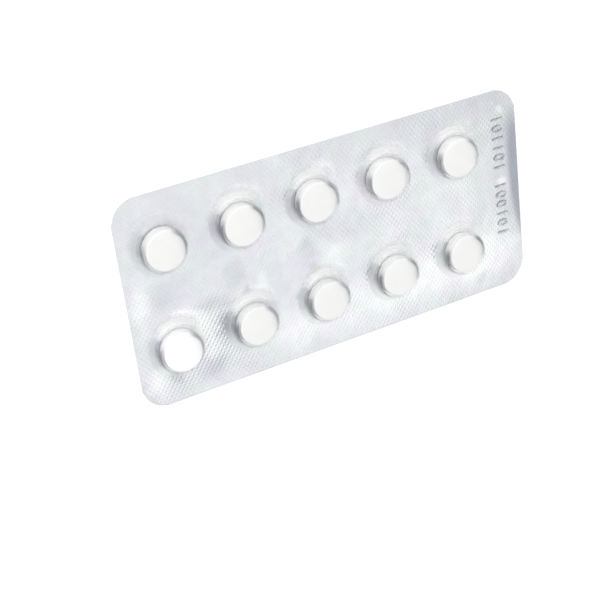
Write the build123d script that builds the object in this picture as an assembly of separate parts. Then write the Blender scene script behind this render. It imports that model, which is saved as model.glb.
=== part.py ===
from build123d import *
import math
import os

# Push-through blister pack for ten round tablets, in millimetres.
# It lies on its foil with the pockets up. The origin is the centre of the foil's underside,
# +X runs along the pack to the end with the wide margin, +Y across it and +Z up through the pockets.

# Tablet
tablet_diameter = 8.0
tablet_band = 2.3
tablet_crown = 0.3
tablet_bevel = 0.18

# Sheets: the film is drawn thinner where it forms a pocket
foil_thickness = 0.05
film_thickness = 0.25
pocket_wall = 0.20
cut_edge_round = 0.10

# Pocket: clearances round the tablet, and the bends of the drawn film
side_play = 0.35
head_room = 0.55
rest_gap = 0.05
draft_angle = 8.0
shoulder_radius = 1.3
mouth_bend = 0.3

# Unsealed rim round each pocket, which stands a little above the sealed web
rim_width = 0.9
rim_rise = 0.08
rim_slope = 0.25

# Layout: sealed land between the rims, and from the outer rims to the four edges
columns = 5
rows = 2
column_land = 4.27
row_land = 9.17
plain_end_margin = 2.54
code_end_margin = 9.74
upper_margin = 4.84
lower_margin = 5.34
corner_radius = 5.5

# Where each loose tablet has slid in its pocket, as a share of its free travel in X and Y:
# the upper row from -X to +X, and then the lower row
tablet_slides = [
    (0.9, -0.3), (0.8, -0.3), (0.0, 0.1), (-0.8, 0.3), (0.9, -0.2),
    (0.9, -0.4), (0.9, -0.3), (0.7, -0.3), (0.8, -0.2), (0.9, -0.1),
]

# Worked out from the tablet: the pocket that holds it
tablet_radius = tablet_diameter / 2
tablet_height = tablet_band + 2 * tablet_crown
draft_slope = math.tan(math.radians(draft_angle))
band_top = rest_gap + tablet_crown + tablet_band
pocket_depth = rest_gap + tablet_height + head_room
mouth_radius = tablet_radius + side_play + band_top * draft_slope
roof_radius = mouth_radius - (pocket_depth - rim_rise) * draft_slope
rim_radius = mouth_radius + rim_width + rim_slope

# Worked out from the pockets: the grid and the outline of the pack
column_pitch = 2 * rim_radius + column_land
row_pitch = 2 * rim_radius + row_land
pack_length = plain_end_margin + 2 * rim_radius + (columns - 1) * column_pitch + code_end_margin
pack_width = lower_margin + 2 * rim_radius + (rows - 1) * row_pitch + upper_margin
first_column_x = -pack_length / 2 + plain_end_margin + rim_radius
upper_row_y = pack_width / 2 - upper_margin - rim_radius


def pocket_centres():
    """Centres of the pockets, the upper row first, each row from -X to +X."""
    centres = []
    for row in range(rows):
        for column in range(columns):
            x = first_column_x + column * column_pitch
            y = upper_row_y - row * row_pitch
            centres.append((x, y))
    return centres


def pack_outline():
    return RectangleRounded(pack_length, pack_width, corner_radius)


def wall_offset(base_thickness):
    """How far outside an inner corner the outer corner lies, where a sheet meets the drafted wall."""
    angle = math.radians(draft_angle)
    rise = (base_thickness - pocket_wall * math.sin(angle)) / math.cos(angle)
    return pocket_wall * math.cos(angle) - rise * math.sin(angle)


def make_pocket():
    """One drawn pocket with its rim, as the film's section turned about the pocket's axis."""
    rim_inside = rim_radius - rim_slope
    under = FilletPolyline(
        (rim_inside, rim_rise),
        (mouth_radius, rim_rise),
        (roof_radius, pocket_depth),
        (0, pocket_depth),
        radius=[mouth_bend + pocket_wall, shoulder_radius],
    )
    outer_mouth = mouth_radius + wall_offset(film_thickness)
    outer_roof = roof_radius + wall_offset(pocket_wall)
    over = FilletPolyline(
        (rim_inside, film_thickness + rim_rise),
        (outer_mouth, film_thickness + rim_rise),
        (outer_roof, pocket_depth + pocket_wall),
        (0, pocket_depth + pocket_wall),
        radius=[mouth_bend, shoulder_radius + pocket_wall],
    )
    axis_side = Line(under @ 1, over @ 1)
    rim_step = Polyline(
        under @ 0,
        (rim_radius, 0),
        (rim_radius, film_thickness),
        over @ 0,
    )
    section = make_face(Plane.XZ * (under + over + axis_side + rim_step))
    return revolve(section, Axis.Z)


def make_formed_film():
    """The clear film: a flat web with a pocket drawn up through it at each place of the grid."""
    web_sketch = pack_outline()
    for x, y in pocket_centres():
        web_sketch -= Pos(x, y) * Circle(rim_radius)
    film = extrude(web_sketch, film_thickness)
    cut_edges = film.faces().sort_by(Axis.Z)[-1].outer_wire().edges()
    film = fillet(cut_edges, cut_edge_round)
    pocket = make_pocket()
    for x, y in pocket_centres():
        film += Pos(x, y) * pocket
    return Pos(0, 0, foil_thickness) * film


def make_lidding_foil():
    """The push-through foil that closes the pockets from below."""
    return extrude(pack_outline(), foil_thickness)


def make_tablet():
    """A round tablet with a straight band, bevelled rims and shallow domed faces, on its lower pole."""
    face_radius = tablet_radius - tablet_bevel
    dome_height = tablet_crown - tablet_bevel
    dome_radius = (face_radius**2 + dome_height**2) / (2 * dome_height)
    dome_angle = math.degrees(math.asin(face_radius / dome_radius))
    side = Polyline(
        (face_radius, dome_height),
        (tablet_radius, tablet_crown),
        (tablet_radius, tablet_crown + tablet_band),
        (face_radius, tablet_height - dome_height),
    )
    lower_dome = CenterArc((0, dome_radius), dome_radius, -90, dome_angle)
    upper_dome = CenterArc((0, tablet_height - dome_radius), dome_radius, 90 - dome_angle, dome_angle)
    core_line = Line((0, 0), (0, tablet_height))
    section = make_face(Plane.XZ * (lower_dome + side + upper_dome + core_line))
    return revolve(section, Axis.Z)


def placed_tablets():
    """The tablets, each loose in its pocket and slid to one side of it."""
    tablet = make_tablet()
    travel = side_play - 2 * rest_gap
    placed = []
    for index, (x, y) in enumerate(pocket_centres()):
        slide_x, slide_y = tablet_slides[index % len(tablet_slides)]
        place = Pos(x + slide_x * travel, y + slide_y * travel, foil_thickness + rest_gap)
        placed.append(place * tablet)
    return placed


nodes = {
    "formed_film": make_formed_film(),
    "lidding_foil": make_lidding_foil(),
}
for number, tablet in enumerate(placed_tablets(), start=1):
    nodes[f"tablet_{number}"] = tablet

os.makedirs("parts", exist_ok=True)
for name, solid in nodes.items():
    export_step(solid, f"parts/{name}.step")
    size = solid.bounding_box().size
    print(f"{name}: {solid.volume:.2f} mm3, {size.X:.2f} x {size.Y:.2f} x {size.Z:.2f} mm")
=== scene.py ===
# %% [markdown]
# A push-through blister pack, dressed for its portrait
#
# The measured model is already there: a clear film with ten drawn pockets, a foil that closes
# them from below, and ten loose tablets. This lesson gives each of them the shape and the
# surface of the real thing. It works in metres, with a short name, mm, to keep sizes readable.

# %% Load the measured model as the frame
import math

import bmesh
import bpy
from mathutils import Matrix, Vector, noise


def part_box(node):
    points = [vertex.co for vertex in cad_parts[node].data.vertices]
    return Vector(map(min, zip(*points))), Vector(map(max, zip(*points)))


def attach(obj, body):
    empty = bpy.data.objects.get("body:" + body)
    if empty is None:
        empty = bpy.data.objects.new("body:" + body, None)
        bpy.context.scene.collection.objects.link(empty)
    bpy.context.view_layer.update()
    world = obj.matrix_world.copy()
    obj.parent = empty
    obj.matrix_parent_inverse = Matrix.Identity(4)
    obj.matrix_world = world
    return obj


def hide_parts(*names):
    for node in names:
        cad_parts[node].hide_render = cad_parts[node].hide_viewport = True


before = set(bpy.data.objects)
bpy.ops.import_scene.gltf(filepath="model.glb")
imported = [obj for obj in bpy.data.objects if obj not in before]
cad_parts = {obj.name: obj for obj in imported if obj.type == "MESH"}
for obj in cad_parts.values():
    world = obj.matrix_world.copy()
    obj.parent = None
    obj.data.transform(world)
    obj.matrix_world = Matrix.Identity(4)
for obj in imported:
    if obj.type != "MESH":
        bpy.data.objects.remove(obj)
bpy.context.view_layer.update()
mm = 0.001

# %% [markdown]
# The pack's layout is the same few sizes that the measured model is drawn from. The outline comes
# from the frame itself, so that every piece below sits inside it.

# %% Sizes of the pack and its pockets
film_low, film_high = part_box("formed_film")
corner_radius = 5.5 * mm

columns = 5
rows = 2
draft = math.radians(8.0)
rim_radius = 5.872 * mm
rim_slope = 0.25 * mm
rim_rise = 0.08 * mm
mouth_radius = 4.722 * mm
mouth_bend = 0.3 * mm
shoulder_radius = 1.3 * mm
pocket_wall = 0.2 * mm
column_land = 4.27 * mm
row_land = 9.17 * mm
plain_end_margin = 2.54 * mm
upper_margin = 4.84 * mm

column_pitch = 2 * rim_radius + column_land
row_pitch = 2 * rim_radius + row_land
first_x = film_low.x + plain_end_margin + rim_radius
first_y = film_high.y - upper_margin - rim_radius

# %% Places of the ten pockets
pocket_places = []
for row in range(rows):
    for column in range(columns):
        x = first_x + column * column_pitch
        y = first_y - row * row_pitch
        pocket_places.append(Vector((x, y, 0)))
print("Pockets:", len(pocket_places), "at a pitch of", round(column_pitch / mm, 2), "mm")

# %% [markdown]
# Modelling by operators needs two habits. Everything is deselected before a piece is touched,
# because an operator acts on all that is selected. Then the vertices, edges or faces that it
# should act on are picked in code, by their place. These helpers do just that.

# %% Helpers: edit one piece, and pick parts of it by their place
def choose(piece):
    """Selects one piece and nothing else."""
    bpy.ops.object.select_all(action="DESELECT")
    piece.select_set(True)
    bpy.context.view_layer.objects.active = piece


def edit(piece):
    """Opens one piece in edit mode, with nothing in it selected."""
    choose(piece)
    bpy.ops.object.mode_set(mode="EDIT")
    bpy.ops.mesh.select_all(action="DESELECT")


def done():
    """Leaves edit mode and returns the piece."""
    bpy.ops.object.mode_set(mode="OBJECT")
    return bpy.context.view_layer.objects.active


def middle(part):
    """The middle of a vertex, an edge or a face."""
    if isinstance(part, bmesh.types.BMVert):
        return part.co
    return sum((corner.co for corner in part.verts), Vector()) / len(part.verts)


def pick(kind, test):
    """In edit mode, selects the parts of one kind, VERT, EDGE or FACE, that pass a test."""
    bpy.ops.mesh.select_mode(type=kind)
    bpy.ops.mesh.select_all(action="DESELECT")
    sketch = bmesh.from_edit_mesh(bpy.context.edit_object.data)
    groups = {"VERT": sketch.verts, "EDGE": sketch.edges, "FACE": sketch.faces}
    for part in groups[kind]:
        if test(part, middle(part)):
            part.select_set(True)
    sketch.select_flush_mode()
    bmesh.update_edit_mesh(bpy.context.edit_object.data)


def apply_modifier(piece, kind, **settings):
    """Adds a modifier with the given settings and applies it."""
    choose(piece)
    modifier = piece.modifiers.new(kind.title(), kind)
    for name, value in settings.items():
        setattr(modifier, name, value)
    bpy.ops.object.modifier_apply(modifier=modifier.name)


def join(pieces, name):
    """Joins pieces into the first of them, under one name."""
    choose(pieces[0])
    for piece in pieces:
        piece.select_set(True)
    bpy.ops.object.join()
    pieces[0].name = name
    return pieces[0]


def copy_to(piece, place):
    """A copy of a piece with its own mesh, moved to a place."""
    twin = piece.copy()
    twin.data = piece.data.copy()
    twin.data.transform(Matrix.Translation(place))
    bpy.context.scene.collection.objects.link(twin)
    return twin


def settle(piece):
    """Puts the piece's place and size into its mesh, so that its object sits at the origin."""
    choose(piece)
    bpy.ops.object.transform_apply(location=True, rotation=True, scale=True)


# %% [markdown]
# Pockets and tablets are both round, so both are drawn in the same way: a circle is extruded ring
# by ring to the radius and height of the next point of the section. A spin would do the same, but
# the rings make it easy to give a bend more steps than a straight wall.

# %% Helpers: draw a round form ring by ring
def arc_rings(centre_radius, centre_height, radius, start, end, steps):
    """Points of an arc in the section, as (radius, height), with angles in degrees."""
    points = []
    for step in range(steps + 1):
        angle = math.radians(start + (end - start) * step / steps)
        across = centre_radius + radius * math.cos(angle)
        points.append((across, centre_height + radius * math.sin(angle)))
    return points


def draw_rings(rings):
    """In edit mode, extrudes the selected ring along the section and closes it at the axis."""
    radius, height = rings[0]
    for next_radius, next_height in rings[1:]:
        lift = {"value": (0, 0, next_height - height)}
        bpy.ops.mesh.extrude_region_move(TRANSFORM_OT_translate=lift)
        ratio = next_radius / radius
        bpy.ops.transform.resize(value=(ratio, ratio, 1), center_override=(0, 0, 0))
        radius, height = next_radius, next_height
    bpy.ops.mesh.edge_face_add()
    bpy.ops.mesh.poke()


# %% [markdown]
# The film is one sheet, drawn up into ten pockets, and its land between them is flat. One tile is
# modelled first: a pocket in the middle of a grid that is as large as the pocket's share of the
# pack. The pocket's foot has as many points as the square hole round it, so that a bridge joins
# the two. A bridge needs to know which ring is the upper one, so the grid starts 1 mm too low and
# is flattened up to the pocket's foot afterwards. Ten tiles then make the pack.

# %% The section of one pocket, from its rim to the middle of its roof
web_top = 0.30 * mm
roof_top = film_high.z
bend_support = 0.12 * mm
mouth_steps = 7
shoulder_steps = 12
roof_rings = (0.7, 0.35)
tilt_gain = (1 - math.sin(draft)) / math.cos(draft)
outer_mouth = mouth_radius + pocket_wall * tilt_gain
outer_roof = outer_mouth - (roof_top - web_top - rim_rise) * math.tan(draft)
outer_shoulder = shoulder_radius + pocket_wall


def pocket_section():
    """The outer face of one pocket as (radius, height) points."""
    foot = web_top + rim_rise
    tilt = math.degrees(draft)
    bend_radius = outer_mouth + mouth_bend * tilt_gain
    reach = outer_roof - outer_shoulder * tilt_gain
    rings = [(rim_radius, web_top), (rim_radius - rim_slope, foot)]
    rings += [(rim_radius - rim_slope - bend_support, foot)]
    rings += arc_rings(bend_radius, foot + mouth_bend, mouth_bend, 270, 180 + tilt, mouth_steps)
    rings += arc_rings(reach, roof_top - outer_shoulder, outer_shoulder, tilt, 90, shoulder_steps)
    rings += [(reach * share, roof_top) for share in roof_rings]
    return rings


print("Section of one pocket:", len(pocket_section()), "points")

# %% One tile of the film: the pocket in the middle of its land
ring_points = 64
block_cells = ring_points // 4
cells_x = block_cells + 2
cells_y = block_cells + 8
grid_drop = 1 * mm
slack = 0.01 * mm
hole_x = column_pitch * block_cells / cells_x / 2 + slack
hole_y = row_pitch * block_cells / cells_y / 2 + slack


def in_hole(at):
    """Whether a place lies in the square hole that the pocket's foot is bridged to."""
    return abs(at.x) < hole_x and abs(at.y) < hole_y


def make_film_tile():
    bpy.ops.object.select_all(action="DESELECT")
    bpy.ops.mesh.primitive_grid_add(
        x_subdivisions=cells_x,
        y_subdivisions=cells_y,
        size=1,
        location=(0, 0, web_top - grid_drop),
    )
    tile = bpy.context.view_layer.objects.active
    tile.scale = (column_pitch, row_pitch, 1)
    settle(tile)
    foot_radius = rim_radius + bend_support
    edit(tile)
    pick("FACE", lambda face, at: in_hole(at))
    bpy.ops.mesh.delete(type="FACE")
    bpy.ops.mesh.select_mode(type="VERT")
    bpy.ops.mesh.primitive_circle_add(
        vertices=ring_points, radius=foot_radius, location=(0, 0, web_top)
    )
    draw_rings([(foot_radius, web_top)] + pocket_section())
    pick("EDGE", lambda edge, at: edge.is_boundary and in_hole(at))
    bpy.ops.mesh.bridge_edge_loops(number_cuts=2, interpolation="LINEAR")
    pick("VERT", lambda corner, at: at.z < web_top - slack)
    bpy.ops.transform.resize(value=(1, 1, 0), center_override=(0, 0, web_top))
    return done()


film_tile = make_film_tile()
print("One tile of film:", len(film_tile.data.polygons), "faces")

# %% [markdown]
# A clear pocket is not clear all round. At its two ends it bends the light from the dark part of
# the room, so a black crescent stands on each side of the tablet: on the near end it lies on the
# wall, and on the far end it reaches over the shoulder. Here these crescents are painted shade, put
# into the film's colour. Where the sheet was stretched most, at the rim, it is hazy, and on one
# side of the pocket it is painted white as well, a painted highlight. A material can't know where
# it is on a pocket, so the mesh tells it: each vertex of the tile gets two numbers, how much
# painted darkness it has and how much haze and painted highlight, and the film's finish reads them
# later.

# %% Where a pocket gets painted darkness, and where it gets haze and a painted highlight
# Each painted dark crescent: its direction in degrees, the cosines and the heights in mm between
# which it fades in and out, and its strength. The third one is a faint painted shade low on the
# wall.
crescents = (
    (200, (0.6, 0.95), (1.5, 2.1), (2.7, 3.1), 1.0),
    (18, (0.6, 0.95), (2.5, 3.1), (3.55, 3.72), 0.7),
    (150, (0.75, 0.95), (0.45, 0.6), (1.0, 1.6), 0.3),
)
# The haze and its painted highlight lie on one side of each pocket only.
haze_highlight_direction = 85
haze_highlight_spread = (0.5, 0.9)
haze_highlight_inner = (4.65, 5.05)
haze_highlight_outer = (5.7, 7.3)


def soft_step(value, low, high):
    """0 below low, 1 above high, and a smooth step between them."""
    share = min(1, max(0, (value - low) / (high - low)))
    return share * share * (3 - 2 * share)


def towards(place, direction, spread):
    """1 on the side of the pocket that a direction points to, fading to 0 within the spread."""
    angle = math.atan2(place.y, place.x)
    return soft_step(math.cos(angle - math.radians(direction)), *spread)


def painted_darkness(place):
    """From 0 for clear film to 1 in the middle of a painted dark crescent."""
    if math.hypot(place.x, place.y) > rim_radius:
        return 0
    height = place.z / mm
    darkest = 0
    for direction, spread, rise, fall, strength in crescents:
        band = soft_step(height, *rise) * (1 - soft_step(height, *fall))
        darkest = max(darkest, strength * towards(place, direction, spread) * band)
    return darkest


def haze_and_highlight_amount(place):
    """From 0 for clear film to 1 where the rim of the pocket is hazy and painted white, a painted
    highlight on one side.
    """
    radius = math.hypot(place.x, place.y) / mm
    ring = soft_step(radius, *haze_highlight_inner) * (1 - soft_step(radius, *haze_highlight_outer))
    return ring * towards(place, haze_highlight_direction, haze_highlight_spread)


# %% Write both numbers on the tile's vertices
for name, rule in (("painted_dark", painted_darkness), ("haze_and_highlight", haze_and_highlight_amount)):
    weights = film_tile.data.attributes.new(name, "FLOAT", "POINT")
    marked = 0
    for number, corner in enumerate(film_tile.data.vertices):
        weights.data[number].value = rule(corner.co)
        marked += weights.data[number].value > 0
    print("Vertices of the tile with", name, "above 0:", marked)

# %% [markdown]
# The pack's round corners are cut like paper, with straight snips: each bisect plane touches the
# corner's arc, and what lies outside it is cleared. The same snips serve the film and the foil.

# %% Helpers: cut a sheet to the pack's outline
corner_snips = 11


def snip(place, outward):
    """In edit mode, cuts the whole mesh along a plane and clears what lies outside."""
    bpy.ops.mesh.select_all(action="SELECT")
    bpy.ops.mesh.bisect(plane_co=place, plane_no=outward, clear_outer=True)


def round_corners():
    """In edit mode, rounds the pack's four corners."""
    for side_x, edge_x in ((-1, film_low.x), (1, film_high.x)):
        for side_y, edge_y in ((-1, film_low.y), (1, film_high.y)):
            x = edge_x - side_x * corner_radius
            y = edge_y - side_y * corner_radius
            for step in range(1, corner_snips + 1):
                angle = math.radians(90) * step / (corner_snips + 1)
                outward = Vector((side_x * math.cos(angle), side_y * math.sin(angle), 0))
                snip(Vector((x, y, 0)) + outward * corner_radius, outward)


# %% [markdown]
# No two pockets of a real pack look alike, because each of them leans and is stretched in its own
# way, so each copy of the tile gets its own strengths for its painted crescents and for its haze
# and painted highlight. The ten tiles are then joined and merged into one sheet, and its straight
# sides are extruded out to the outline. Solidify gives the sheet its wall last, and towards the
# inside, so that the measured outer face stays where it is.

# %% How strong the painted near crescent, the painted far crescent and the haze with its painted highlight are at each pocket
pocket_looks = (
    (0.7, 0.9, 0.15),
    (1.0, 1.0, 1.0),
    (0.9, 1.0, 0.75),
    (0.6, 1.0, 1.0),
    (0.75, 0.85, 0.85),
    (1.0, 0.7, 0.9),
    (0.9, 0.7, 0.95),
    (1.0, 0.7, 0.9),
    (1.0, 1.0, 0.6),
    (1.0, 1.1, 0.45),
)


def weigh(tile, place, near_strength, far_strength, haze_highlight_strength):
    """Gives the tile at a pocket's place the strengths of its two painted crescents and of its haze
    and painted highlight.
    """
    painted_dark = tile.data.attributes["painted_dark"].data
    haze_and_highlight = tile.data.attributes["haze_and_highlight"].data
    for number, corner in enumerate(tile.data.vertices):
        painted_dark[number].value *= near_strength if corner.co.x < place.x else far_strength
        haze_and_highlight[number].value *= haze_highlight_strength


# %% The whole film: ten tiles, four margins and round corners
margin_cell = 0.9 * mm
film_wall = 0.2 * mm
merge_gap = 0.02 * mm
film_crease = math.radians(30)


def grow_margin(axis, edge, limit):
    """In edit mode, extrudes one straight side of the sheet out to the pack's outline."""
    steps = max(1, round(abs(limit - edge) / margin_cell))
    pick("EDGE", lambda part, at: part.is_boundary and abs(at[axis] - edge) < merge_gap)
    shift = Vector((0, 0, 0))
    shift[axis] = (limit - edge) / steps
    for _ in range(steps):
        bpy.ops.mesh.extrude_region_move(TRANSFORM_OT_translate={"value": shift})


def face_up():
    """In edit mode, turns the faces of an open sheet to one side, with the flat land facing up."""
    bpy.ops.mesh.select_all(action="SELECT")
    bpy.ops.mesh.normals_make_consistent(inside=False)
    sketch = bmesh.from_edit_mesh(bpy.context.edit_object.data)
    if sum(face.normal.z * face.calc_area() for face in sketch.faces) < 0:
        bpy.ops.mesh.flip_normals()


def make_film():
    tiles = [copy_to(film_tile, place) for place in pocket_places]
    for tile, place, look in zip(tiles, pocket_places, pocket_looks):
        weigh(tile, place, *look)
    bpy.data.objects.remove(film_tile)
    film = join(tiles, "film_with_pockets")
    last = pocket_places[-1]
    edit(film)
    bpy.ops.mesh.select_all(action="SELECT")
    bpy.ops.mesh.remove_doubles(threshold=merge_gap)
    grow_margin(0, first_x - column_pitch / 2, film_low.x)
    grow_margin(0, last.x + column_pitch / 2, film_high.x)
    grow_margin(1, first_y + row_pitch / 2, film_high.y)
    grow_margin(1, last.y - row_pitch / 2, film_low.y)
    round_corners()
    face_up()
    done()
    apply_modifier(film, "SOLIDIFY", thickness=film_wall, offset=-1)
    choose(film)
    bpy.ops.object.shade_smooth_by_angle(angle=film_crease)
    return film


film = make_film()
print("Film:", len(film.data.polygons), "faces")

# %% [markdown]
# The foil is sealed between plates with a cut diamond pattern, and that knurl is what makes the
# flat land sparkle. It could be a bump, but real pyramids also show along the edge and in a
# raking light. A grid turned by 45 degrees is stretched to the diamonds' size, cut to the
# outline, and each of its faces is poked up into a pyramid. The plates never press evenly, so
# each tip is then lowered by its own share: noise changes it slowly across the pack and quickly
# from one tip to the next, and a few firm spots keep nearly all of it.

# %% How deep the plates have pressed
# Each firm spot: x, y and reach in mm, and how much deeper it is pressed.
firm_spots = (
    (-27.0, -10.0, 7.0, 0.9),
    (-37.0, -17.0, 6.0, 0.5),
    (-42.0, 1.0, 4.0, 0.4),
)
usual_press = 0.42
least_press = 0.2
slow_reach = 9 * mm
slow_start = Vector((3, 7, 0))
slow_change = 0.35
quick_reach = 0.6 * mm
quick_change = 0.25


def knurl_depth(place):
    """The share of the full rise that a pyramid has at a place."""
    slow = noise.noise(place / slow_reach + slow_start)
    quick = noise.noise(place / quick_reach)
    pressed = usual_press
    for x, y, reach, strength in firm_spots:
        gap = (place.xy - Vector((x, y)) * mm).length / (reach * mm)
        pressed += strength * math.exp(-gap * gap)
    return min(1.0, max(least_press, pressed + slow_change * slow + quick_change * quick))


# %% The foil's knurl: a field of low pyramids
diamond_width = 1.001 * mm
diamond_height = 1.307 * mm
knurl_rise = 0.05 * mm
foil_skin = 0.03 * mm


def make_knurl():
    reach_x = film_high.x / diamond_width
    reach_y = film_high.y / diamond_height
    cells = 2 * math.ceil(reach_x + reach_y)
    bpy.ops.object.select_all(action="DESELECT")
    bpy.ops.mesh.primitive_grid_add(x_subdivisions=cells, y_subdivisions=cells, size=cells)
    knurl = bpy.context.view_layer.objects.active
    stretch = math.sqrt(0.5)
    edit(knurl)
    bpy.ops.mesh.select_all(action="SELECT")
    bpy.ops.transform.rotate(value=math.radians(45), orient_axis="Z", center_override=(0, 0, 0))
    bpy.ops.transform.resize(
        value=(diamond_width * stretch, diamond_height * stretch, 1), center_override=(0, 0, 0)
    )
    bpy.ops.transform.translate(value=(0, 0, foil_skin))
    for side, limit in ((-1, film_low), (1, film_high)):
        snip((limit.x, 0, 0), (side, 0, 0))
        snip((0, limit.y, 0), (0, side, 0))
    round_corners()
    bpy.ops.mesh.select_all(action="SELECT")
    bpy.ops.mesh.poke(offset=knurl_rise)
    done()
    for corner in knurl.data.vertices:
        if corner.co.z > foil_skin + 0.5 * knurl_rise:
            corner.co.z = foil_skin + knurl_rise * knurl_depth(corner.co)
    apply_modifier(knurl, "SOLIDIFY", thickness=foil_skin, offset=-1)
    return knurl


knurl = make_knurl()
print("Knurl:", len(knurl.data.polygons), "faces")

# %% [markdown]
# The plates are bored out round each pocket, so the knurl stops there in a clean ring. A Boolean
# with ten cylinders cuts those rings, and a smooth disc of foil goes into each. The disc is
# a little larger than its hole, so that its edge lies inside the sheet and no light gets through.
# The discs stay a piece of their own, because unpressed foil has a softer and wavier finish.

# %% The smooth foil under each pocket
disc_points = 96
disc_lap = 0.06 * mm
disc_sink = 0.002 * mm
disc_rings = (0.8, 0.4)
cutter_depth = 1 * mm


def make_cutters():
    cutters = []
    for place in pocket_places:
        bpy.ops.object.select_all(action="DESELECT")
        bpy.ops.mesh.primitive_cylinder_add(
            vertices=disc_points, radius=rim_radius, depth=cutter_depth, location=place
        )
        cutters.append(bpy.context.view_layer.objects.active)
    return join(cutters, "ring_cutters")


def make_disc():
    """A closed disc of foil, a little thinner than the sheet that it laps into."""
    top = foil_skin - disc_sink
    radius = rim_radius + disc_lap
    bpy.ops.object.select_all(action="DESELECT")
    bpy.ops.mesh.primitive_circle_add(
        vertices=disc_points, radius=radius, location=(0, 0, disc_sink), fill_type="TRIFAN"
    )
    disc = bpy.context.view_layer.objects.active
    settle(disc)
    edit(disc)
    pick("EDGE", lambda edge, at: edge.is_boundary)
    inner_rings = [(radius * share, top) for share in disc_rings]
    draw_rings([(radius, disc_sink), (radius, top)] + inner_rings)
    bpy.ops.mesh.select_all(action="SELECT")
    bpy.ops.mesh.normals_make_consistent(inside=False)
    return done()


cutters = make_cutters()
apply_modifier(knurl, "BOOLEAN", operation="DIFFERENCE", solver="EXACT", object=cutters)
bpy.data.objects.remove(cutters)
foil = knurl
foil.name = "knurled_foil"
disc = make_disc()
discs = [copy_to(disc, place) for place in pocket_places]
bpy.data.objects.remove(disc)
smooth_foil = join(discs, "smooth_foil_discs")
print("Foil:", len(foil.data.polygons), "faces")
print("Smooth discs:", len(smooth_foil.data.polygons), "faces")

# %% [markdown]
# A pressed tablet has a straight band between two nearly flat domes, and its rims are a little
# worn. It is a body of revolution too, so it is drawn with the same rings as the pockets, and a
# Bevel modifier wears its rims. The ten tablets are copies, each in the box of its measured one.

# %% The tablet: two shallow domes and a band between worn rims
tablet_low, tablet_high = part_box("tablet_1")
tablet_radius = (tablet_high.x - tablet_low.x) / 2
tablet_height = tablet_high.z - tablet_low.z
tablet_crown = 0.3 * mm
tablet_bevel = 0.18 * mm
tablet_points = 64
dome_steps = 5
worn_width = 0.08 * mm
worn_steps = 3
worn_angle = math.radians(25)
tablet_crease = math.radians(40)


def dome_rings(steps):
    """Points of the dome over the band, from its rim to near the axis."""
    face_radius = tablet_radius - tablet_bevel
    dome_height = tablet_crown - tablet_bevel
    dome_radius = (face_radius**2 + dome_height**2) / (2 * dome_height)
    reach = math.degrees(math.asin(face_radius / dome_radius))
    centre = tablet_height / 2 - dome_radius
    return arc_rings(0, centre, dome_radius, 90 - reach, 90 - reach / (steps + 1), steps)


def make_tablet():
    dome = dome_rings(dome_steps)
    band = tablet_height / 2 - tablet_crown
    rings = [(radius, -height) for radius, height in reversed(dome)]
    rings += [(tablet_radius, -band), (tablet_radius, 0), (tablet_radius, band)] + dome
    radius, height = rings[0]
    bpy.ops.object.select_all(action="DESELECT")
    bpy.ops.mesh.primitive_circle_add(
        vertices=tablet_points, radius=radius, location=(0, 0, height), fill_type="TRIFAN"
    )
    tablet = bpy.context.view_layer.objects.active
    settle(tablet)
    edit(tablet)
    pick("EDGE", lambda edge, at: edge.is_boundary)
    draw_rings(rings)
    bpy.ops.mesh.select_all(action="SELECT")
    bpy.ops.mesh.normals_make_consistent(inside=False)
    done()
    apply_modifier(
        tablet,
        "BEVEL",
        width=worn_width,
        segments=worn_steps,
        limit_method="ANGLE",
        angle_limit=worn_angle,
    )
    choose(tablet)
    bpy.ops.object.shade_smooth_by_angle(angle=tablet_crease)
    return tablet


model_tablet = make_tablet()
tablets = []
for number in range(1, len(pocket_places) + 1):
    low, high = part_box(f"tablet_{number}")
    tablet = copy_to(model_tablet, (low + high) / 2)
    tablet.name = f"white_tablet_{number}"
    tablets.append(tablet)
bpy.data.objects.remove(model_tablet)
print("Tablets:", len(tablets), "of", len(tablets[0].data.polygons), "faces")

# %% [markdown]
# The wide margin carries a row of pressed marks, where a real pack has its code. Only plain rings
# and bars stand for it, in two groups and in an order that says nothing. A ring is a flat face
# that is inset, with its middle deleted, and Solidify gives all of the marks the little height
# that the stamp leaves.

# %% The pressed marks in the wide margin
mark_length = 2.7 * mm
mark_width = 1.6 * mm
mark_stroke = 0.45 * mm
mark_pitch = 2.05 * mm
mark_height = 0.02 * mm
mark_skin = 0.9 * mark_height
ring_corners = 20
mark_line_x = film_high.x - 4.3 * mm
mark_start_y = 15.2 * mm
mark_row = "bar ring bar bar ring bar gap bar ring ring bar ring bar".split()


def flat_face(length, width, corners):
    """A flat face of a length along X and a width along Y, with 4 or more corners."""
    bpy.ops.object.select_all(action="DESELECT")
    if corners == 4:
        bpy.ops.mesh.primitive_plane_add(size=1)
    else:
        bpy.ops.mesh.primitive_circle_add(vertices=corners, radius=0.5, fill_type="NGON")
    face = bpy.context.view_layer.objects.active
    face.scale = (length, width, 1)
    settle(face)
    return face


def make_mark(kind):
    if kind == "bar":
        return flat_face(mark_length, mark_stroke, 4)
    ring = flat_face(mark_length, mark_width, ring_corners)
    edit(ring)
    bpy.ops.mesh.select_all(action="SELECT")
    bpy.ops.mesh.inset(thickness=mark_stroke)
    bpy.ops.mesh.delete(type="FACE")
    return done()


def make_marks():
    models = {kind: make_mark(kind) for kind in ("ring", "bar")}
    stamped = []
    for number, kind in enumerate(mark_row):
        if kind in models:
            y = mark_start_y - number * mark_pitch
            place = Vector((mark_line_x, y, web_top + mark_height))
            stamped.append(copy_to(models[kind], place))
    for model in models.values():
        bpy.data.objects.remove(model)
    marks = join(stamped, "pressed_marks")
    apply_modifier(marks, "SOLIDIFY", thickness=mark_skin, offset=-1)
    return marks


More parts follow.
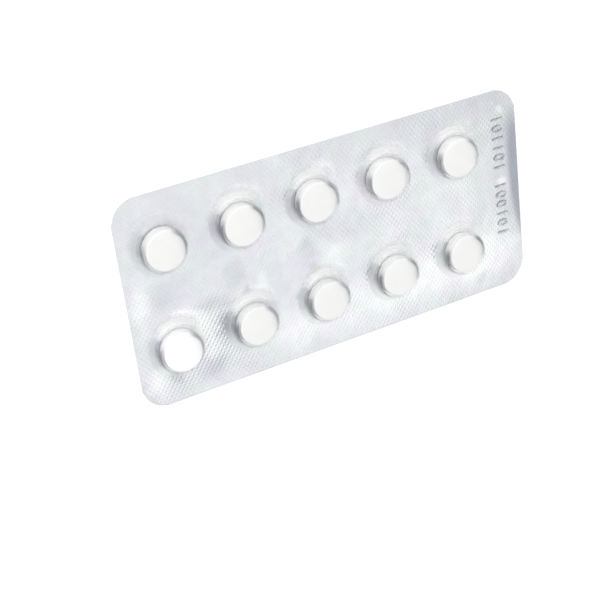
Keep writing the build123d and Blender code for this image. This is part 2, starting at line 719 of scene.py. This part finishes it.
marks = make_marks()
print("Marks:", len(marks.data.polygons), "faces")

# %% [markdown]
# Finishes are drawn as node trees. Their maths reads best as plain arithmetic, so one small class
# holds an output of a node and turns each operator into the Math node that does it. Any other
# node comes from its method node, which takes the settings and the sockets' values, and the
# nodes that are used most have short methods of their own.

# %% Helper: shader maths as Python expressions
class Shade:
    """One output of a shader node, or only a tree to start from."""

    def __init__(self, tree, socket=None):
        self.tree = tree
        self.socket = socket

    def node(self, kind, sockets=None, output=0, **settings):
        """Adds a node, makes its settings, fills its sockets and returns one of its outputs."""
        made = self.tree.nodes.new(kind)
        for name, value in settings.items():
            setattr(made, name, value)
        for name, value in (sockets or {}).items():
            if isinstance(value, Shade):
                self.tree.links.new(value.socket, made.inputs[name])
            else:
                made.inputs[name].default_value = value
        return Shade(self.tree, made.outputs[output])

    def maths(self, operation, *values):
        return self.node("ShaderNodeMath", dict(enumerate(values)), operation=operation)

    def __add__(self, other):
        return self.maths("ADD", self, other)

    def __sub__(self, other):
        return self.maths("SUBTRACT", self, other)

    def __rsub__(self, other):
        return self.maths("SUBTRACT", other, self)

    def __mul__(self, other):
        return self.maths("MULTIPLY", self, other)

    __radd__ = __add__
    __rmul__ = __mul__

    def ramp(self, low, high):
        """0 below low, 1 above high, and a smooth step between them."""
        sockets = {"Value": self, "From Min": low, "From Max": high}
        return self.node("ShaderNodeMapRange", sockets, interpolation_type="SMOOTHSTEP")

    def place(self):
        """Where a point lies on the pack, in metres."""
        return self.node("ShaderNodeTexCoord", output="Object")

    def spots(self, place, scale, detail, output=0):
        """Soft noise round 0.5, with about so many spots to the metre."""
        sockets = {"Vector": place, "Scale": scale, "Detail": detail}
        return self.node("ShaderNodeTexNoise", sockets, output=output)

    def blend(self, share, first, second, **settings):
        """A colour between two: the first at share 0 and the second at share 1."""
        sockets = {0: share, 6: first, 7: second}
        return self.node("ShaderNodeMix", sockets, output=2, data_type="RGBA", **settings)

    def bump(self, height, strength, distance):
        """A normal that leans as if the surface had this height."""
        sockets = {"Height": height, "Strength": strength, "Distance": distance}
        return self.node("ShaderNodeBump", sockets)

    def feed(self, socket):
        """Links this output to a socket of the shader or of the material's output."""
        self.tree.links.new(self.socket, socket)


def new_finish(name):
    """A new material: its start for expressions, its principled shader and its output node."""
    finish = bpy.data.materials.new(name)
    finish.use_nodes = True
    nodes = finish.node_tree.nodes
    return finish, Shade(finish.node_tree), nodes["Principled BSDF"], nodes["Material Output"]


def paint(piece, finish):
    piece.data.materials.clear()
    piece.data.materials.append(finish)
    print(piece.name, "has the finish", finish.name)


# %% [markdown]
# A worn surface is bright here and dull there. An image could say where, but a few soft ovals do
# it too, with no file to load. Each is a Mapping node set to Texture, which turns the place into
# the oval's own measure: its middle is at 0 and its edge at a length of 1. So 1 minus the length
# fades from the middle to the edge. Places that wander with noise give it an uneven edge.

# %% Helpers: soft ovals, and places that wander
def oval(place, x, y, radius_x, radius_y, turn):
    """1 in the middle of a soft oval on the pack, and 0 outside it."""
    sockets = {
        "Vector": place,
        "Location": (x * mm, y * mm, 0),
        "Rotation": (0, 0, math.radians(turn)),
        "Scale": (radius_x * mm, radius_y * mm, 1),
    }
    local = place.node("ShaderNodeMapping", sockets, vector_type="TEXTURE")
    length = place.node("ShaderNodeVectorMath", {0: local}, output="Value", operation="LENGTH")
    return (1 - length).ramp(0, 1)


def add_ovals(tone, place, ovals, gain):
    """The tone, changed in each oval of a list by the oval's strength times the gain."""
    for x, y, radius_x, radius_y, turn, strength in ovals:
        tone = tone + oval(place, x, y, radius_x, radius_y, turn) * (gain * strength)
    return tone


def wander(place, scale, reach):
    """The place, moved to and fro by noise, so that what is drawn there has an uneven edge."""
    kind = "ShaderNodeVectorMath"
    drift = place.spots(place, scale, 3, output="Color")
    centred = place.node(kind, {0: drift, 1: (0.5, 0.5, 0.5)}, operation="SUBTRACT")
    shift = place.node(kind, {0: centred, "Scale": reach}, operation="SCALE")
    return place.node(kind, {0: place, 1: shift}, operation="ADD")


# %% [markdown]
# A tablet is pressed powder: matt, nearly white, and a little grainy. Fine noise as bump gives the
# grain, and a second, larger noise makes the white uneven by a few parts in a hundred. The first
# tablet of the lower row looks brighter than the others, so a soft oval paints it pure white: a
# painted highlight.

# %% The tablets' finish: pressed white powder
powder_shade = (0.87, 0.87, 0.86, 1)
powder_white = (0.94, 0.94, 0.935, 1)
pure_white = (1, 1, 1, 1)
lit_tablet = pocket_places[columns] / mm
lit_tablet_reach = 9
grain_strength = 0.25
grain_depth = 0.02 * mm


def make_powder():
    finish, start, shader, _ = new_finish("pressed_powder")
    place = start.place()
    cloud = start.spots(place, 350, 2)
    uneven_white = start.blend(cloud, powder_shade, powder_white)
    # A painted highlight: the oval makes one tablet pure white.
    painted_light = oval(place, lit_tablet.x, lit_tablet.y, lit_tablet_reach, lit_tablet_reach, 0).ramp(0.1, 0.4)
    grain = start.spots(place, 4500, 3)
    start.blend(painted_light, uneven_white, pure_white).feed(shader.inputs["Base Color"])
    start.bump(grain, grain_strength, grain_depth).feed(shader.inputs["Normal"])
    shader.inputs["Roughness"].default_value = 0.75
    shader.inputs["Specular IOR Level"].default_value = 0.3
    return finish


powder = make_powder()
for tablet in tablets:
    paint(tablet, powder)

# %% [markdown]
# The foil is bright aluminium. A real pack has been bent and pressed, so its foil is never evenly
# bright: it gleams where it leans to the light, it is dull in its dents, and the foil beside each
# pocket has a light halo. This foil stays flat, so all three are painted into its colour: painted
# highlights, painted dark reflections and painted halos. All of these are lists of soft ovals in
# one format: x and y, two radii in mm, a turn in degrees and a strength.

# %% Painted dark reflections on the foil, where the real foil is dented
painted_dent_shade = (
    (-21.8, 0.8, 3.6, 5.2, -10, 0.4),
    (-19.9, -3.2, 1.3, 1.7, 0, 0.55),
    (-5.8, 1.5, 3.2, 5.5, -6, 0.35),
    (-5.3, -3.2, 1.7, 1.5, 0, 0.35),
    (-25.3, -9.3, 2.3, 4.8, -12, 0.8),
    (-28.6, -17.6, 4.0, 3.4, 0, 0.32),
    (-37.1, -16.6, 3.2, 1.7, -25, 0.35),
    (-36.0, 1.0, 6.5, 4.2, 10, 0.25),
    (-27.0, -3.6, 6.0, 2.6, 5, 0.3),
    (-28.0, 12.0, 14.0, 8.0, 5, 0.15),
    (7.4, -7.2, 1.6, 3.2, -15, 0.45),
    (43.0, 9.0, 4.5, 11.0, 0, 0.3),
    (33.5, -18.0, 3.0, 1.6, 20, 0.35),
)
dent_shade_strength = 0.6
print("Dents:", len(painted_dent_shade))

# %% Painted highlights on the foil: its gleams, and the halo beside each pocket
painted_gleams = (
    (18.0, -13.5, 36.0, 9.5, 2, 0.9),
    (-9.0, -15.0, 12.0, 7.0, 0, 0.5),
    (36.0, -14.0, 14.0, 12.0, 0, 0.8),
    (27.0, 3.0, 26.0, 17.0, 0, 0.5),
    (-28.4, -12.8, 3.2, 3.4, 0, 0.9),
    (-29.3, -7.6, 3.0, 4.6, 15, 0.9),
    (-33.5, -4.6, 6.0, 2.8, -10, 0.85),
    (-41.3, 0.0, 3.2, 8.5, -6, 0.65),
    (-40.5, -16.5, 4.0, 5.0, 20, 0.9),
    (39.8, 2.1, 1.8, 1.2, 0, 1.2),
    (40.1, 17.1, 1.6, 1.0, 0, 0.9),
    (5.0, 12.0, 22.0, 9.0, 0, 0.25),
    (-16.5, -2.5, 2.0, 4.0, 0, 0.4),
    (0.0, -1.0, 5.0, 4.0, 0, 0.4),
)
gleam_gain = 0.4

# A painted halo highlight above each pocket, as strong as that pocket's haze and highlight on the
# film.
halo_shift = Vector((0.3, 4.9))
halo_shape = (6.0, 2.8, 8)
halo_gain = 0.5
halo_highlights = []
for pocket, look in zip(pocket_places, pocket_looks):
    halo_x, halo_y = pocket.xy / mm + halo_shift
    haze_highlight_strength = look[2]
    halo_highlights.append((halo_x, halo_y, *halo_shape, haze_highlight_strength))
print("Gleams:", len(painted_gleams), "and halos:", len(halo_highlights))

# %% [markdown]
# The knurl shows because one side of each pyramid leans to the light. The shader does part of that
# by itself, and the finish adds painted shade to it: the Normal output of Texture Coordinate says
# how a facet leans, and facets that lean away from the light get a darker tone. The effect is
# strong where the pack was pressed firmly. A strip along the wide margin's end is painted dark, as
# painted shade, because the real pack is bent down there and this one is flat. A faint cast of
# violet and green, drawn by noise, comes from its lacquer.

# %% The foil's finish: rolled aluminium
sharp_places = (
    (-27.5, -10.0, 14.0, 13.0, 0, 3.2),
    (-41.0, -2.0, 6.0, 12.0, 0, 1.5),
    (-36.0, -18.0, 9.0, 6.0, 0, 1.5),
    (2.0, -16.0, 46.0, 12.0, 0, 0.9),
)
usual_sharpness = 0.45
wave_change = 0.35
cloud_change = 0.2
fine_change = 0.12
away_from_light = (0.75, -0.66, 0)
dull_foil = (0.45, 0.46, 0.505, 1)
bright_foil = (0.97, 0.975, 0.965, 1)
painted_end_shade = (44.4, 1.5, 4.2, 22.5, 4)
end_shade_foil = (0.43, 0.45, 0.49, 1)
violet_cast = (0.97, 0.955, 1, 1)
green_cast = (0.955, 0.995, 0.98, 1)


def make_aluminium(name, level, roughness, waviness):
    finish, start, shader, _ = new_finish(name)
    place = start.place()
    moved = wander(place, 260, 3.5 * mm)
    wave = start.spots(place, 110, 2)
    cloud = start.spots(place, 420, 3)
    fine = start.spots(place, 2200, 2)
    tone = level + (wave - 0.5) * wave_change + (cloud - 0.5) * cloud_change
    tone = tone + (fine - 0.5) * fine_change
    # Painted highlights and painted halos lighten the tone, and the painted dent shade darkens it.
    tone = add_ovals(tone, moved, painted_gleams, gleam_gain)
    tone = add_ovals(tone, moved, halo_highlights, halo_gain)
    tone = add_ovals(tone, moved, painted_dent_shade, -dent_shade_strength)

    facet = start.node("ShaderNodeTexCoord", output="Normal")
    sockets = {0: facet, 1: away_from_light}
    lean = start.node("ShaderNodeVectorMath", sockets, output="Value", operation="DOT_PRODUCT")
    tone = tone - lean * add_ovals(usual_sharpness, moved, sharp_places, 1)

    # Painted shade along the wide margin's end, where the real pack is bent down.
    end_shade = oval(place, *painted_end_shade).ramp(0.1, 0.6)
    metal = start.blend(end_shade, start.blend(tone, dull_foil, bright_foil), end_shade_foil)
    cast = start.blend(start.spots(place, 160, 2).ramp(0.35, 0.65), violet_cast, green_cast)
    tinted = start.blend(1, metal, cast, blend_type="MULTIPLY")
    height = wave * 0.3 + cloud * (0.05 * waviness) + fine * 0.004
    tinted.feed(shader.inputs["Base Color"])
    (fine * 0.1 + roughness).feed(shader.inputs["Roughness"])
    start.bump(height, 1, 1 * mm).feed(shader.inputs["Normal"])
    shader.inputs["Metallic"].default_value = 1
    return finish


# %% Two kinds of foil: hard and bright where it is knurled, softer and wavier in the discs
foil_level = 0.53
disc_level = foil_level + 0.15
paint(foil, make_aluminium("bright_foil", foil_level, roughness=0.24, waviness=0))
paint(smooth_foil, make_aluminium("smooth_foil", disc_level, roughness=0.5, waviness=1.5))

# %% [markdown]
# The film is clear, hard and glossy. Seen face on it only adds a weak reflection. Seen along its
# surface, as on the pockets' shoulders, it looks blue-grey: partly it mirrors the dimmer low side
# of the room, and partly a dark body colour under the gloss paints that dark reflection in. A mix
# of a see-through and a glossy shader does both, and its factor grows with the angle of view. It
# also grows where the vertices ask for painted darkness or haze. There the painted dark body makes
# the painted crescents, dark and smooth. Hazy film is rough and without its clear coat, and its
# body is painted white, a painted highlight.

# %% The film's finish: clear, with painted dark crescents, hazy rims with a painted highlight, and painted blue-grey edges
painted_dark_film = (0.1, 0.11, 0.15, 1)
haze_highlight_white = (0.97, 0.97, 0.97, 1)
face_on_gloss = 0.012
edge_on_gloss = 0.25
haze_highlight_share = 0.6
film_roughness = 0.12
haze_roughness = 0.7
coat_roughness = 0.06


def make_clear():
    finish, start, shader, output = new_finish("clear_film")
    place = start.place()
    ripple = start.bump(start.spots(place, 700, 2), 0.3, 0.03 * mm)
    sockets = {"Blend": 0.5, "Normal": ripple}
    facing = start.node("ShaderNodeLayerWeight", sockets, output="Facing")
    edge_on = facing.ramp(0.6, 0.98)

    # Painted darkness, and the haze with its painted highlight, as the vertices give them.
    painted_dark = start.node("ShaderNodeAttribute", output="Fac", attribute_name="painted_dark")
    haze_and_highlight = start.node("ShaderNodeAttribute", output="Fac", attribute_name="haze_and_highlight")
    painted_dark = painted_dark * (0.2 + start.spots(place, 260, 2) * 0.5)
    haze_and_highlight = haze_and_highlight * (0.6 + start.spots(place, 480, 3) * 0.6)
    share = face_on_gloss + edge_on * edge_on_gloss + painted_dark + haze_and_highlight * haze_highlight_share

    # The body is painted: dark for the painted crescents and edges, white for the painted highlight
    # on the hazy rim.
    body = start.blend(haze_and_highlight.ramp(0, 0.04), painted_dark_film, haze_highlight_white)
    body.feed(shader.inputs["Base Color"])
    (film_roughness + haze_and_highlight * haze_roughness).feed(shader.inputs["Roughness"])
    (1 - haze_and_highlight.ramp(0, 0.3)).feed(shader.inputs["Coat Weight"])
    ripple.feed(shader.inputs["Normal"])
    shader.inputs["Coat Roughness"].default_value = coat_roughness
    see_through = start.node("ShaderNodeBsdfTransparent", {"Color": (1, 1, 1, 1)})
    gloss = Shade(start.tree, shader.outputs[0])
    mixed = start.node("ShaderNodeMixShader", {0: share, 1: see_through, 2: gloss})
    mixed.feed(output.inputs["Surface"])
    return finish


paint(film, make_clear())

# %% [markdown]
# The stamp's marks show by the shade on their pressed relief. Here that shade is painted: the marks
# are grey, but some light still gets through. An alpha of about one half gives that. Solid marks
# would look too hard, because the foil would mirror their dark undersides as well.

# %% The marks' finish: painted shade of the pressed relief, grey and half clear
relief_shade_grey = (0.54, 0.56, 0.6, 1)
relief_shade_pale = (0.8, 0.81, 0.84, 1)
relief_shade_alpha = 0.55


def make_relief_shade():
    finish, start, shader, _ = new_finish("relief_shade_film")
    cloud = start.spots(start.place(), 900, 2)
    grey = start.blend(cloud.ramp(0.35, 0.65), relief_shade_grey, relief_shade_pale)
    grey.feed(shader.inputs["Base Color"])
    shader.inputs["Roughness"].default_value = 0.5
    shader.inputs["Alpha"].default_value = relief_shade_alpha
    return finish


paint(marks, make_relief_shade())

# %% [markdown]
# Every piece is told what carries it, and the measured node that it stands for is hidden.

# %% Tie the pieces to the measured model
for piece, node, slot in (
    (film, "formed_film", "clear_film"),
    (foil, "lidding_foil", "foil"),
    (smooth_foil, "lidding_foil", "foil"),
    (marks, "formed_film", "clear_film"),
):
    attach(piece, "root")
    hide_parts(node)

for number, tablet in enumerate(tablets, start=1):
    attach(tablet, "root")
    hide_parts(f"tablet_{number}")

# %% [markdown]
# The pack lies on a white sweep. The floor is bright enough to read as white, but it still takes
# the pack's soft shadow: most of its white is its own colour, lit by the lamps, and a glow that
# only straight, mirrored and refracted rays see adds the rest.

# %% The floor
floor_size = 3000 * mm
floor_drop = 0.05 * mm
floor_glow = 0.3


def seen_directly(start):
    """1 for rays from the camera and for reflected or refracted ones, and 0 for soft light."""
    rays = ("Is Camera Ray", "Is Glossy Ray", "Is Transmission Ray")
    camera, glossy, through = [start.node("ShaderNodeLightPath", output=ray) for ray in rays]
    either = start.maths("MAXIMUM", camera, glossy)
    return start.maths("MAXIMUM", either, through)


def make_floor():
    bpy.ops.object.select_all(action="DESELECT")
    bpy.ops.mesh.primitive_plane_add(size=floor_size, location=(0, 0, -floor_drop))
    floor = bpy.context.view_layer.objects.active
    floor.name = "white_floor"
    settle(floor)
    finish, start, shader, output = new_finish("white_sweep")
    shader.inputs["Base Color"].default_value = (0.8, 0.8, 0.8, 1)
    shader.inputs["Roughness"].default_value = 0.9
    shader.inputs["Specular IOR Level"].default_value = 0
    strength = seen_directly(start) * floor_glow
    glow = start.node("ShaderNodeEmission", {"Color": (1, 1, 1, 1), "Strength": strength})
    lit = Shade(start.tree, shader.outputs[0])
    start.node("ShaderNodeAddShader", {0: lit, 1: glow}).feed(output.inputs["Surface"])
    paint(floor, finish)
    return floor


make_floor()

# %% [markdown]
# One soft lamp stands at the upper left like a window, as the tablets' bright sides show. Foil is
# a mirror, so from the other side of the pack it would throw the window's glare straight at the
# viewer and turn white all over. The window is therefore hidden from mirrored rays, and the foil
# sees only the room and a weak white card.

# %% The lamps
window_direction = Vector((-0.54, 0.61, 0.57)).normalized()
window_distance = 950 * mm
window_size = 420 * mm
window_power = 3.4
card_direction = Vector((0.36, -0.46, 0.81)).normalized()
card_distance = 500 * mm
card_size = 160 * mm
card_power = 0.03


def add_lamp(name, place, size, power):
    """Adds a square soft lamp that shines at the middle of the pack."""
    lamp_data = bpy.data.lights.new(name, "AREA")
    lamp_data.shape = "SQUARE"
    lamp_data.size = size
    lamp_data.energy = power
    lamp = bpy.data.objects.new(name, lamp_data)
    lamp.location = place
    lamp.rotation_euler = (-place).to_track_quat("-Z", "Y").to_euler()
    bpy.context.scene.collection.objects.link(lamp)
    print("Lamp", name, "of", power, "W")
    return lamp


window = add_lamp("window", window_direction * window_distance, window_size, window_power)
window.visible_glossy = False
add_lamp("white_card", card_direction * card_distance, card_size, card_power)

# %% [markdown]
# A white room fills the rest. The camera sees it as pure white, soft light gets a little less,
# and reflections get more the higher they point, so that the foil has something to show.

# %% The room
room_axis = (-0.25, 0.25, 0.93)
room_low = 0.6
room_rise = 0.62
room_soft = 0.84


def make_room():
    """White where it is seen, and a little dimmer in reflections the farther they point down."""
    room = bpy.data.worlds.new("white_room")
    room.use_nodes = True
    start = Shade(room.node_tree)
    background = room.node_tree.nodes["Background"]
    background.inputs["Color"].default_value = (1, 1, 1, 1)
    direction = start.node("ShaderNodeTexCoord", output="Generated")
    sockets = {0: direction, 1: room_axis}
    height = start.node("ShaderNodeVectorMath", sockets, output="Value", operation="DOT_PRODUCT")
    reflected = room_low + height.ramp(-0.2, 1.0) * room_rise
    camera = start.node("ShaderNodeLightPath", output="Is Camera Ray")
    soft = start.node("ShaderNodeLightPath", output="Is Diffuse Ray")
    strength = reflected * (1 - camera) * (1 - soft) + camera + soft * room_soft
    strength.feed(background.inputs["Strength"])
    room.cycles.sampling_method = "NONE"
    bpy.context.scene.world = room


make_room()

# %% [markdown]
# The camera stands where the photograph was taken from: above the plain end of the pack, looking
# across it. Its pose was found from the pack's four corners and ten pockets, so the render can be
# laid over the photograph.

# %% The camera
camera_place = Vector((-114.87, 110.58, 228.0)) * mm
camera_right = Vector((0.8749, -0.1197, 0.4692))
camera_back = Vector((-0.3803, 0.4301, 0.8188))
frame_pixels = 600
focal_pixels = 1420.7


def make_camera():
    camera_data = bpy.data.cameras.new("camera")
    camera_data.sensor_fit = "HORIZONTAL"
    camera_data.lens = camera_data.sensor_width * focal_pixels / frame_pixels
    camera_data.clip_start = 1 * mm
    camera = bpy.data.objects.new("camera", camera_data)
    back = camera_back.normalized()
    right = (camera_right - back * camera_right.dot(back)).normalized()
    axes = Matrix((right, back.cross(right), back)).transposed()
    camera.matrix_world = Matrix.Translation(camera_place) @ axes.to_4x4()
    bpy.context.scene.collection.objects.link(camera)
    bpy.context.scene.camera = camera
    print("Camera: a lens of", round(camera_data.lens, 1), "mm")


make_camera()
bpy.context.scene.view_settings.view_transform = "Standard"
bpy.context.scene.cycles.transparent_max_bounces = 32
